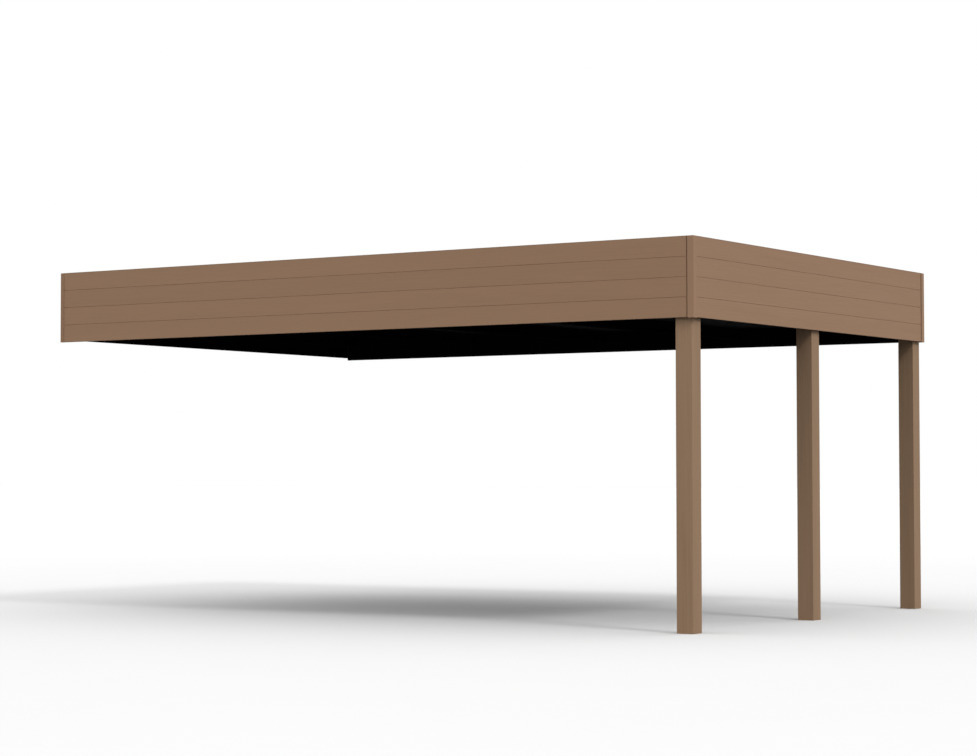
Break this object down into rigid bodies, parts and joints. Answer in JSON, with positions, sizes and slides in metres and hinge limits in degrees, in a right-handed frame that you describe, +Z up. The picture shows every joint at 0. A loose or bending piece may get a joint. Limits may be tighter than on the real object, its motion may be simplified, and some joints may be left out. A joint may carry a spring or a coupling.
{
  "type": "lean-to carport",
  "caption": "Flat-roofed lean-to carport: a ring-beam roof behind a boarded brown fascia, fixed to a wall by a ledger and carried on square posts along its outer side.",
  "frame": {"origin": "centre of the wall ledger's back face; ground level is 2.36 m below it", "axes": "+X out from the wall, +Y along the wall from the front to the rear, +Z up"},
  "size_m": [5.905, 4.01, 2.77],
  "materials": {
    "cladding": "matte",
    "post_finish": "matte",
    "trim_finish": "matte",
    "frame_steel": "matte",
    "sheet_metal": "matte"
  },
  "bodies": {
    "root": {"front_post": "post_finish", "middle_post": "post_finish", "rear_post": "post_finish", "post_shoes": "frame_steel", "wall_ledger": "frame_steel", "outer_beam": "frame_steel", "front_beam": "frame_steel", "rear_beam": "frame_steel", "purlin_1": "frame_steel", "purlin_2": "frame_steel", "purlin_3": "frame_steel", "purlin_4": "frame_steel", "purlin_5": "frame_steel", "purlin_cleats": "frame_steel", "starter_rails": "frame_steel", "front_uprights": "frame_steel", "outer_uprights": "frame_steel", "rear_uprights": "frame_steel", "front_fascia_board_1": "cladding", "front_fascia_board_2": "cladding", "front_fascia_board_3": "cladding", "front_fascia_board_4": "cladding", "outer_fascia_board_1": "cladding", "outer_fascia_board_2": "cladding", "outer_fascia_board_3": "cladding", "outer_fascia_board_4": "cladding", "rear_fascia_board_1": "cladding", "rear_fascia_board_2": "cladding", "rear_fascia_board_3": "cladding", "rear_fascia_board_4": "cladding", "front_corner_trim": "trim_finish", "rear_corner_trim": "trim_finish", "front_end_trim": "trim_finish", "rear_end_trim": "trim_finish", "front_cap": "trim_finish", "outer_cap": "trim_finish", "rear_cap": "trim_finish", "roof_sheet_1": "sheet_metal", "roof_sheet_2": "sheet_metal", "roof_sheet_3": "sheet_metal", "roof_sheet_4": "sheet_metal", "gutter": "sheet_metal", "wall_flashing": "sheet_metal", "front_flashing": "sheet_metal", "rear_flashing": "sheet_metal"}
  },
  "joints": []
}
